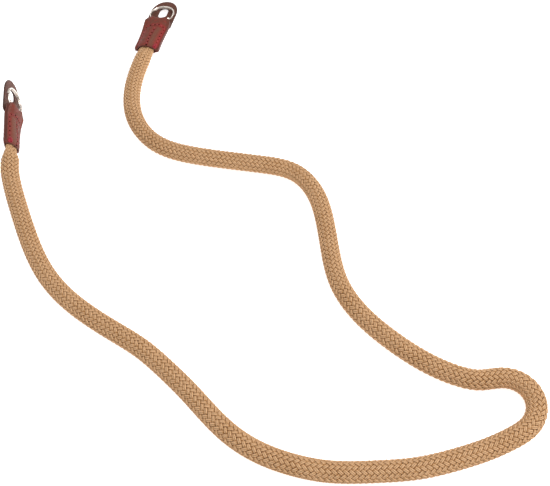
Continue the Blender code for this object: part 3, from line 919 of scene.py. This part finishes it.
def sleeve_rows():
    """The sleeve's sections from its mouth to where the fold starts to turn: distance along, half
    width, half width of the raised middle, its height in front and behind, lift and squareness."""
    rows = []
    for along, edge, wide, high, low, lift in POCKET:
        raised = (size * CORD_RADIUS + PLY for size in (wide, high, low))
        rows.append((along * SLEEVE_LENGTH, edge * HALF_SHOULDER, *raised, lift * FOLD_LIFT, 2.0))
    for share in (0.0, 0.35, 0.7, 0.92, 1.0):
        along = SLEEVE_LENGTH + share * (ROUNDING_START - SLEEVE_LENGTH)
        edge = HALF_FOLD + (HALF_SHOULDER - HALF_FOLD) * math.sqrt(1 - share**2)
        rows.append((along, edge, HALF_FOLD + PLY, FOLD_HALF_HEIGHT, FOLD_HALF_HEIGHT, FOLD_LIFT, 4.0 + 4.0 * share))
    return np.array(rows)


SLEEVE_ROWS = sleeve_rows()


def sleeve_height(across, along, face):
    """The leather's outer surface over the sleeve's middle plane, for the front or the back."""
    wide, high, low, lift, power = (np.interp(along, SLEEVE_ROWS[:, 0], column) for column in SLEEVE_ROWS.T[2:])
    share = np.minimum(np.abs(across) / wide, 1.0)
    raised = (high if face > 0 else low) * (1 - share**power) ** (1 / power)
    return lift + face * (PLY**4 + raised**4) ** 0.25


def line_points(line):
    """Evenly spaced points on a smooth line through the given ones."""
    knots = np.array(line, float)
    padded = np.vstack([2 * knots[0] - knots[1], knots, 2 * knots[-1] - knots[-2]])
    fine = []
    for i in range(len(knots) - 1):
        a, b, c, d = padded[i : i + 4]
        square, cube = 2 * a - 5 * b + 4 * c - d, 3 * b - a - 3 * c + d
        for t in np.linspace(0.0, 1.0, SEAM_SAMPLES, endpoint=False):
            fine.append(0.5 * (2 * b + (c - a) * t + square * t**2 + cube * t**3))
    fine = np.array(fine + [knots[-1]])
    return evenly(fine, max(int(run_along(fine)[-1] / SEAM_STEP), 2))[0]


SEAM_LINES = [line_points(line) for line in (KNOT_LINE, ROUND_LINE, MIDDLE_LINE)]


def seam_depth(across, along):
    """How near a point of a sleeve's face is to its lines of stitches, and how much of their red
    dye it has, both from 0 to 1."""
    places = np.stack([across, along], axis=-1)
    depth = dye = np.zeros(across.shape)
    for line, strength in zip(SEAM_LINES, SEAM_STRENGTHS):
        nearest = np.full(across.shape, 1.0)
        for point in line:
            nearest = np.minimum(nearest, np.hypot(*np.moveaxis(places - point, -1, 0)))
        depth = np.maximum(depth, np.exp(-((nearest / SEAM_REACH) ** 2)))
        reach = DYE_REACH[0] + DYE_REACH[1] * strength
        dye = np.maximum(dye, strength * np.exp(-((nearest / reach) ** 2)))
    return depth, dye


def panel_share(across, along):
    """Where the smooth panel between the knot's line and the middle line is, from 0 to 1."""
    share = 1.0
    for value, (low, high, fade) in ((across, PANEL_SIDES), (along, PANEL_ENDS)):
        share = share * (ramp((value - low) / fade) * ramp((high - value) / fade))
    return share


def soften(values, times):
    """Smooths a grid of values, with its borders kept."""
    for _ in range(times):
        inner = (values[:-2, 1:-1] + values[2:, 1:-1] + values[1:-1, :-2] + values[1:-1, 2:]) / 4
        values = values.copy()
        values[1:-1, 1:-1] = 0.5 * values[1:-1, 1:-1] + 0.5 * inner
    return values


def sleeve_face(side, face, shares):
    """One face of a sleeve, as rows of points from its mouth: across, along, the height of the
    leather's middle, the dye, the panel, and how near the thin lip at the mouth is."""
    end, corner = ENDS[side], SLEEVE_CORNER
    across = np.zeros((SLEEVE_ROWS_ALONG + 1, len(shares)))
    along = np.zeros_like(across)
    for i, share in enumerate(np.linspace(0.0, 1.0, SLEEVE_ROWS_ALONG + 1) ** ROW_SPREAD):
        y = share * ROUNDING_START
        for _ in range(3):
            edge = np.interp(y, SLEEVE_ROWS[:, 0], SLEEVE_ROWS[:, 1])
            x = shares * edge * np.where(shares < 0, 1 - end["narrow"] * ramp(1 - y / NARROW_RUN), 1.0)
            over = np.clip(np.abs(x) - (edge - corner), 0.0, corner)
            start = corner - np.sqrt(corner**2 - over**2)
            y = start + share * (ROUNDING_START - start)
        across[i], along[i] = x, y
    outer = soften(sleeve_height(across, along, face), 3)
    depth, dye = seam_depth(across * end["mirror"], along)
    panel = panel_share(across * end["mirror"], along)
    lip = ramp(1 - along / LIP)
    middle = outer - face * (PLY / 2 + SEAM_DENT * depth - PANEL_RISE * panel + LIP_PARED * lip)
    aside = across / HALF_SHOULDER
    along -= MOUTH_BOW * aside**2 * ramp(1 - along / BOW_RUN)
    along += end["cut"] * np.maximum(aside, 0.0) * ramp(1 - along / CUT_RUN)
    dye *= end["dye"]
    return np.stack([across, along, middle, dye, panel * (1 - 0.7 * dye) * (face > 0), lip])


def build_sleeve(side, surface):
    """One strip of leather: up the sleeve's face, round the ring and down its back."""
    shares = np.linspace(-1.0, 1.0, SLEEVE_ROWS_ACROSS + 1)
    front, back = sleeve_face(side, 1, shares), sleeve_face(side, -1, shares)
    reach = RING_CENTRE - np.sqrt(RING_INNER_RADIUS**2 - (shares * HALF_FOLD) ** 2) + CLEARANCE + PLY
    hollow = HOLLOW_SHARE * (reach - FOLD_END)
    for grid in (front, back):
        grid[1] += hollow * ramp((grid[1] - HOLLOW_START) / (ROUNDING_START - HOLLOW_START)) ** 2
    angles = (math.pi * np.arange(1, FOLD_ROWS) / FOLD_ROWS)[:, None]
    radius, flat = FOLD_HALF_HEIGHT - PLY / 2, np.zeros((FOLD_ROWS - 1, len(shares)))
    fold = np.stack([
        shares * HALF_FOLD + flat, ROUNDING_START + hollow + radius * np.sin(angles),
        FOLD_LIFT + radius * np.cos(angles) + flat, flat, flat, flat,
    ])
    across, along, middle, dye, panel, lip = sheet = np.concatenate([front, fold, back[:, ::-1]], axis=1)

    name = side + "_sleeve_leather"
    made = loft(name, np.moveaxis(sheet[:3], 0, -1), surface, across_closed=False)
    to_side = (1 - np.abs(shares)) * np.maximum(np.abs(across).max(axis=1), 0.001)[:, None]
    row = np.arange(len(across))[:, None]
    to_mouth = np.minimum(row, row[::-1]) * ROW_STEP
    store(made.data, "rim", ramp(1 - np.minimum(to_side, to_mouth) / SLEEVE_RIM))
    store(made.data, "seam", dye)
    store(made.data, "panel", panel)
    full = made.vertex_groups.new(name="full")
    for number, near in enumerate(lip.ravel()):
        full.add([number], 1.0 - float(near), "REPLACE")
    thick = made.modifiers.new("thickness", "SOLIDIFY")
    for label, value in (
        ("vertex_group", "full"), ("thickness_vertex_group", 0.6), ("thickness", PLY), ("offset", 0.0),
        ("use_even_offset", False), ("edge_crease_inner", 0.8), ("edge_crease_outer", 0.7),
    ):
        setattr(thick, label, value)
    smooth = made.modifiers.new("smooth", "SUBSURF")
    smooth.levels = smooth.render_levels = 1
    mesh = plain_mesh(made, name)
    mesh.transform(end_matrix(side))
    mesh.shade_smooth()
    return new_object(name, mesh)


class STRAP_OT_sleeves(bpy.types.Operator):
    """Fold the two leather sleeves, with their seams pressed in and dyed"""

    bl_idname = "strap.sleeves"
    bl_label = "Make the sleeves"

    def execute(self, context):
        settings = context.scene.strap_leather
        surface = leather_material("sleeve_leather", settings, settings.brown, settings.edge, 0.8, 0.55)
        for side in ENDS:
            finish_piece(build_sleeve(side, surface), "sleeve", side + "_sleeve")
        return {"FINISHED"}


def guard_radius(angle):
    """Distance from the slot's centre to the guard's outline in a direction, all in its plane."""
    tip, start = GUARD_TIP - GUARD_TIP_LENGTH, GUARD_TAIL + GUARD_CORNER
    outline = [(0.0, GUARD_TAIL)]
    for turn in np.radians(np.linspace(0, 90, 9)):
        side = GUARD_TAIL_HALF - GUARD_CORNER * (1 - math.sin(turn))
        outline.append((side, start - GUARD_CORNER * math.cos(turn)))
    for share in np.arange(1, 16) / 16:
        side = GUARD_TAIL_HALF + (GUARD_HALF_WIDTH - GUARD_TAIL_HALF) * eased(share)
        outline.append((side, start + (tip - start) * share))
    for turn in np.radians(np.linspace(0, 90, 33)):
        side = GUARD_HALF_WIDTH * max(math.cos(turn), 0.0) ** GUARD_FULLNESS
        outline.append((side, tip + (GUARD_TIP - tip) * math.sin(turn)))
    around = np.array(outline) - (0.0, SLOT_CENTRE)
    angles = np.arctan2(around[:, 1], around[:, 0])
    return np.interp(np.arcsin(np.sin(angle)), angles, np.hypot(around[:, 0], around[:, 1]))


def slot_radius(angle):
    """Distance from the slot's centre to its edge in a direction."""
    x, y = np.abs(np.cos(angle)), np.abs(np.sin(angle))
    straight = SLOT_HALF_LENGTH - SLOT_HALF_WIDTH
    to_side = SLOT_HALF_WIDTH / np.maximum(x, 1e-9)
    to_end = straight * y + np.sqrt(np.maximum(SLOT_HALF_WIDTH**2 - (straight * x) ** 2, 0.0))
    return np.where(to_side * y <= straight, to_side, to_end)


def build_guard(side, surface):
    """The oval flap with its slot, its cut edges rounded."""
    angle = np.linspace(-math.pi, math.pi, GUARD_DIRECTIONS, endpoint=False)[:, None]
    far, near = guard_radius(angle), slot_radius(angle)
    half = GUARD_LEATHER / 2
    profile = []
    for face in (1, -1):
        for share in np.linspace(0.0, 1.0, GUARD_STEPS + 1)[::face]:
            profile.append((share, GUARD_ROUND * (1 - 2 * share), face * half))
        for turn in np.radians((35, 70, 110, 145)):
            profile.append((share, -face * GUARD_ROUND * (1 - math.sin(turn)), face * half * math.cos(turn)))
    share, offset, height = np.array(profile).T
    reach = near + (far - near) * share + offset
    height = GUARD_FACE - half + height + reach * 0
    sections = np.stack([reach * np.cos(angle), SLOT_CENTRE + reach * np.sin(angle), height], axis=-1)
    made = loft(side + "_guard_leather", sections, surface, along_closed=True)
    rim = ramp(1 - np.minimum(far - reach, reach - near) / GUARD_RIM)
    for name, values in (("rim", rim), ("seam", rim * 0), ("panel", rim * 0)):
        store(made.data, name, values)
    made.data.transform(end_matrix(side) @ Matrix.Translation((GUARD_SHIFT * ENDS[side]["mirror"], 0.0, 0.0)))
    return made


class STRAP_OT_guards(bpy.types.Operator):
    """Cut the two leather guards behind the rings"""

    bl_idname = "strap.guards"
    bl_label = "Make the guards"

    def execute(self, context):
        settings = context.scene.strap_leather
        surface = leather_material("guard_leather", settings, settings.guard, settings.guard_edge, 0.15, 0.7)
        for side in ENDS:
            finish_piece(build_guard(side, surface), "guard", side + "_ring_guard")
        return {"FINISHED"}


def build_ring(side, surface, settings):
    """Two turns of wire, one on the other, with the crossing between them and thinned ends."""
    end = ENDS[side]
    radius, mean = RING_WIRE / 2, RING_OUTER_RADIUS - RING_WIRE / 2
    level = radius + RING_TURN_GAP / 2
    sweep = 4 * math.pi - settings.jog - RING_MOUTH
    count = round(sweep / (2 * math.pi) * settings.steps)
    back = sweep * np.arange(count + 1) / count
    angle = settings.mouth - back
    climb = ramp((sweep - back - 2 * math.pi + settings.jog) / settings.jog)
    height = level * (2 * eased(climb) - 1)
    line = np.stack([end["mirror"] * mean * np.cos(angle), mean * np.sin(angle), height], axis=1)
    ways = unit(np.gradient(line, axis=0))
    out = line * (1, 1, 0) / mean
    out = unit(out - (out * ways).sum(axis=1)[:, None] * ways)
    size = np.full((count + 1, 1), radius)
    size[[0, -1]], size[[1, -2]] = WIRE_ENDS[0] * radius, WIRE_ENDS[1] * radius
    sections = circles(line, out * size, np.cross(ways, out) * size, WIRE_SIDES)
    ring = loft(side + "_ring_wire", sections, surface)
    # Painted shade on the ring's lower turn: 1 there, 0 on the upper turn.
    low = ramp(0.5 - 0.5 * height / level)
    store(ring.data, "lower_turn_shade", np.repeat(low * end["lower_turn_shade"], WIRE_SIDES))
    pivot = RING_CENTRE - RING_OUTER_RADIUS - CLEARANCE
    pivot += RING_REST * (FOLD_END - PLY - pivot)
    place = (RING_SHIFT * end["mirror"], RING_CENTRE, FOLD_LIFT - math.tan(RING_TILT) * (RING_CENTRE - pivot))
    ring.data.transform(end_matrix(side) @ Matrix.Translation(place) @ Matrix.Rotation(-RING_TILT, 4, "X"))
    return ring


class STRAP_OT_rings(bpy.types.Operator):
    """Coil the two split rings"""

    bl_idname = "strap.rings"
    bl_label = "Coil the rings"

    def execute(self, context):
        settings = context.scene.strap_ring
        chrome = chrome_material(settings)
        for side in ENDS:
            finish_piece(build_ring(side, chrome, settings), "ring", side + "_split_ring")
        return {"FINISHED"}


# ---- the stitches --------------------------------------------------------------------------


def stitch_tree():
    """Stitches one behind another on a guide, each dipping into its holes."""
    nodes, given, result = new_tree(
        "sewn_stitches", "GeometryNodeTree",
        [
            ("Guide", "Geometry", None), ("Pitch", "Float", 0.0027), ("Thread", "Float", 0.0007),
            ("Slant", "Float", 0.15), ("Uneven", "Float", 0.08), ("Seed", "Int", 5),
            ("Material", "Material", None), ("Hole Material", "Material", None),
        ],
        [("Stitches", "Geometry")],
    )
    out, triple, pitch, thread = nodes.out, nodes.triple, given["Pitch"], given["Thread"]

    curve = out("GeometryNodeMeshToCurve", "Curve", {"Mesh": given["Guide"]})
    line = out("GeometryNodeResampleCurve", "Curve", {"Curve": curve, "Length": pitch}, mode="LENGTH")
    align, tangent = "FunctionNodeAlignRotationToVector", out("GeometryNodeInputTangent", 0, {})
    facing = out(align, 0, {"Vector": nodes.read("raised", "FLOAT_VECTOR")}, axis="Z")
    facing = out(align, 0, {"Rotation": facing, "Vector": tangent}, axis="X", pivot_axis="Z")
    inputs = {2: -1.0, 3: 1.0, "Seed": given["Seed"]}
    lean = given["Slant"] + out("FunctionNodeRandomValue", 1, inputs, data_type="FLOAT") * given["Uneven"]
    euler = out("FunctionNodeEulerToRotation", 0, {0: triple(0.0, 0.0, lean)})
    inputs = {"Rotation": facing, "Rotate By": euler}
    turned = out("FunctionNodeRotateRotation", 0, inputs, rotation_space="LOCAL")

    reach, dip, crest = pitch * 0.30, thread * -0.75, thread * 0.42
    inputs = {
        "Resolution": 9, "Start": triple(reach * -1.0, 0.0, dip), "Start Handle": triple(reach * -0.86, 0.0, crest),
        "End Handle": triple(reach * 0.86, 0.0, crest), "End": triple(reach, 0.0, dip),
    }
    arc = out("GeometryNodeCurvePrimitiveBezierSegment", "Curve", inputs, mode="POSITION")
    inputs = {"Resolution": 8, "Radius": thread * 0.5}
    circle = out("GeometryNodeCurvePrimitiveCircle", "Curve", inputs, mode="RADIUS")
    stitch = nodes.swept(nodes.keep(arc, "along", nodes.run()), circle)
    # A flattened dark ball at each hole: the shadow in the hole, painted.
    ball = out("GeometryNodeMeshUVSphere", "Mesh", {"Segments": 10, "Rings": 6, "Radius": thread * 0.80})
    place = triple(pitch * 0.5, 0.0, thread * -0.06)
    hole = out("GeometryNodeTransform", 0, {"Geometry": ball, "Translation": place, "Scale": (1.0, 1.0, 0.34)})
    both = nodes.node("GeometryNodeJoinGeometry", {})
    for shape, surface in ((nodes.smoothed(hole), "Hole Material"), (stitch, "Material")):
        inputs = {"Points": line, "Instance": shape, "Rotation": turned}
        copies = out("GeometryNodeInstanceOnPoints", "Instances", inputs)
        nodes.feed(both.inputs[0], nodes.realized(copies, given[surface]))
    nodes.fill(result, {"Stitches": Value(nodes, both.outputs[0])})
    return nodes.tree


def seam_guide(name, line, side, face):
    """A stitch line on a sleeve's front or back, with the leather's outward direction. It stops
    where the last hole would reach the lip of the mouth."""
    mirror = ENDS[side]["mirror"]
    edge = ENDS[side]["cut"] * np.maximum(line[:, 0] * mirror / HALF_SHOULDER, 0.0)
    line = line[line[:, 1] > edge + SEAM_STOP]
    across, along = line[:, 0] * mirror, line[:, 1]

    def surface(x, y):
        return sleeve_height(x, y, face) - face * STITCH_SINK

    height, step = surface(across, along), 0.0002
    slope_x = (surface(across + step, along) - surface(across - step, along)) / (2 * step)
    slope_y = (surface(across, along + step) - surface(across, along - step)) / (2 * step)
    outward = unit(face * np.stack([-slope_x, -slope_y, np.ones_like(height)], axis=1))
    matrix = np.array(end_matrix(side))
    points = np.stack([across, along, height], axis=1) @ matrix[:3, :3].T + matrix[:3, 3]
    return guide_mesh(name, points, raised=outward @ matrix[:3, :3].T)


def joined(name, pieces):
    """Several objects' meshes as one object."""
    bm = bmesh.new()
    materials = []
    mesh = bpy.data.meshes.new(name)
    for piece in pieces:
        for surface in piece.data.materials:
            if surface not in materials:
                materials.append(surface)
    for piece in pieces:
        start = len(bm.faces)
        bm.from_mesh(piece.data)
        bm.faces.ensure_lookup_table()
        places = [materials.index(surface) for surface in piece.data.materials]
        for face in bm.faces[start:]:
            face.material_index = places[face.material_index]
        bpy.data.objects.remove(piece)
    bm.to_mesh(mesh)
    bm.free()
    for surface in materials:
        mesh.materials.append(surface)
    return new_object(name, mesh)


def knot_loops(side, surface):
    """The knot that ends the thread at the mouth: four tight loops through each other."""
    mirror = ENDS[side]["mirror"]
    x, y = KNOT_PLACE[0] * mirror, KNOT_PLACE[1]
    z = float(sleeve_height(np.array([x]), np.array([y]), 1)[0])
    angles = 2 * math.pi * np.arange(KNOT_STEPS) / KNOT_STEPS
    out = np.stack([np.cos(angles), np.sin(angles), 0 * angles], axis=1)
    up = np.zeros_like(out) + (0.0, 0.0, KNOT_WIRE)
    sections = circles(out * (*KNOT_RADII, 0.0), out * KNOT_WIRE, up, KNOT_SIDES)
    loops = []
    for number, ((aside, on, rise), turn) in enumerate(KNOT_LOOPS):
        loop = loft("%s_knot_%d" % (side, number), sections, surface, along_closed=True)
        rotation = Euler([math.radians(angle) * factor for angle, factor in zip(turn, (1, mirror, mirror))])
        place = Matrix.Translation((x + aside * mirror, y + on, z + rise))
        loop.data.transform(end_matrix(side) @ place @ rotation.to_matrix().to_4x4())
        loops.append(loop)
    return loops


class STRAP_OT_stitches(bpy.types.Operator):
    """Sew the sleeves with red thread"""

    bl_idname = "strap.stitches"
    bl_label = "Sew the stitches"

    def execute(self, context):
        settings = context.scene.strap_stitch
        tree = stitch_tree()
        thread, hole = thread_material("red_thread", settings.colour), hole_material()
        bright = thread_material("bright_red_thread", settings.bright)
        knot = thread_material("knot_thread", settings.knot)
        for side, end in ENDS.items():
            made = []
            for number, (line, strength) in enumerate(zip(SEAM_LINES, SEAM_STRENGTHS)):
                for face, face_name in ((1, "front"), (-1, "back")):
                    name = "%s_stitches_%d_%s" % (side, number, face_name)
                    values = {
                        "Pitch": settings.pitch, "Thread": settings.thread * (0.8 + 0.35 * strength),
                        "Slant": settings.slant * end["mirror"], "Seed": 5 + number,
                        "Material": bright if strength * end["dye"] == 1.0 else thread, "Hole Material": hole,
                    }
                    made.append(through_nodes(name, seam_guide(name, line, side, face), tree, values))
            finish_piece(joined(side + "_stitches", made + knot_loops(side, knot)), "sleeve")
        return {"FINISHED"}


# ---- the stage -----------------------------------------------------------------------------


class STRAP_OT_stage(bpy.types.Operator):
    """Set up the white paper, the soft lights and the photo's camera"""

    bl_idname = "strap.stage"
    bl_label = "Set the stage"

    def execute(self, context):
        settings = context.scene.strap_stage
        scene = context.scene
        camera = bpy.data.cameras.new("photo_camera")
        camera.lens = settings.lens
        camera.sensor_width = 36.0
        camera.clip_start = 0.01
        eye = new_object("photo_camera", camera)
        eye.location = settings.camera_place
        eye.rotation_euler = (settings.camera_tilt, 0.0, 0.0)
        scene.camera = eye

        mesh = bpy.data.meshes.new("paper")
        mesh.from_pydata([(-4, -4, 0), (4, -4, 0), (4, 4, 0), (-4, 4, 0)], [], [(0, 1, 2, 3)])
        paper = new_object("paper", mesh, paper_material(settings.floor, settings.glow))

        for name, place, size, power in (
            ("soft_key", (0.70, -0.10, 0.90), 0.6, settings.key_power),
            ("soft_left", (-0.70, -0.55, 0.75), 0.8, settings.key_power * 0.20),
            ("soft_back", (-0.30, 0.90, 0.80), 0.8, settings.key_power * 0.15),
        ):
            light = bpy.data.lights.new(name, "AREA")
            light.size = size
            light.energy = power
            lamp = new_object(name, light)
            lamp.location = place
            way = Vector((0.09, -0.09, 0.0)) - lamp.location
            lamp.rotation_euler = way.to_track_quat("-Z", "Y").to_euler()

        world = bpy.data.worlds.new("white_room")
        world.use_nodes = True
        background = world.node_tree.nodes["Background"]
        background.inputs["Color"].default_value = (1.0, 1.0, 1.0, 1.0)
        background.inputs["Strength"].default_value = settings.fill
        scene.world = world
        scene.view_settings.view_transform = "Standard"
        return {"FINISHED"}


class STRAP_PT_panel(bpy.types.Panel):
    """The strap's steps and sizes"""

    bl_idname = "STRAP_PT_panel"
    bl_label = "Camera neck strap"
    bl_space_type = "VIEW_3D"
    bl_region_type = "UI"
    bl_category = "Strap"

    def draw(self, context):
        column = self.layout.column()
        for step, attribute in STEPS:
            column.operator(step)
            settings = getattr(context.scene, attribute)
            for name in settings.__annotations__:
                column.prop(settings, name)


STEPS = (
    ("strap.stage", "strap_stage"), ("strap.cord", "strap_cord"), ("strap.sleeves", "strap_leather"),
    ("strap.guards", "strap_leather"), ("strap.rings", "strap_ring"), ("strap.stitches", "strap_stitch"),
)
SETTINGS = {
    "strap_stage": StageSettings, "strap_cord": CordSettings, "strap_leather": LeatherSettings,
    "strap_ring": RingSettings, "strap_stitch": StitchSettings,
}
CLASSES = (
    *SETTINGS.values(), STRAP_OT_stage, STRAP_OT_cord, STRAP_OT_sleeves, STRAP_OT_guards, STRAP_OT_rings,
    STRAP_OT_stitches, STRAP_PT_panel,
)


def register():
    for made in CLASSES:
        bpy.utils.register_class(made)
    for name, settings in SETTINGS.items():
        setattr(bpy.types.Scene, name, PointerProperty(type=settings))


def unregister():
    for name in SETTINGS:
        delattr(bpy.types.Scene, name)
    for made in reversed(CLASSES):
        bpy.utils.unregister_class(made)


def main():
    register()
    bpy.ops.strap.stage()
    bpy.ops.strap.cord()
    bpy.ops.strap.sleeves()
    bpy.ops.strap.guards()
    bpy.ops.strap.rings()
    bpy.ops.strap.stitches()


if __name__ == "__main__":
    main()
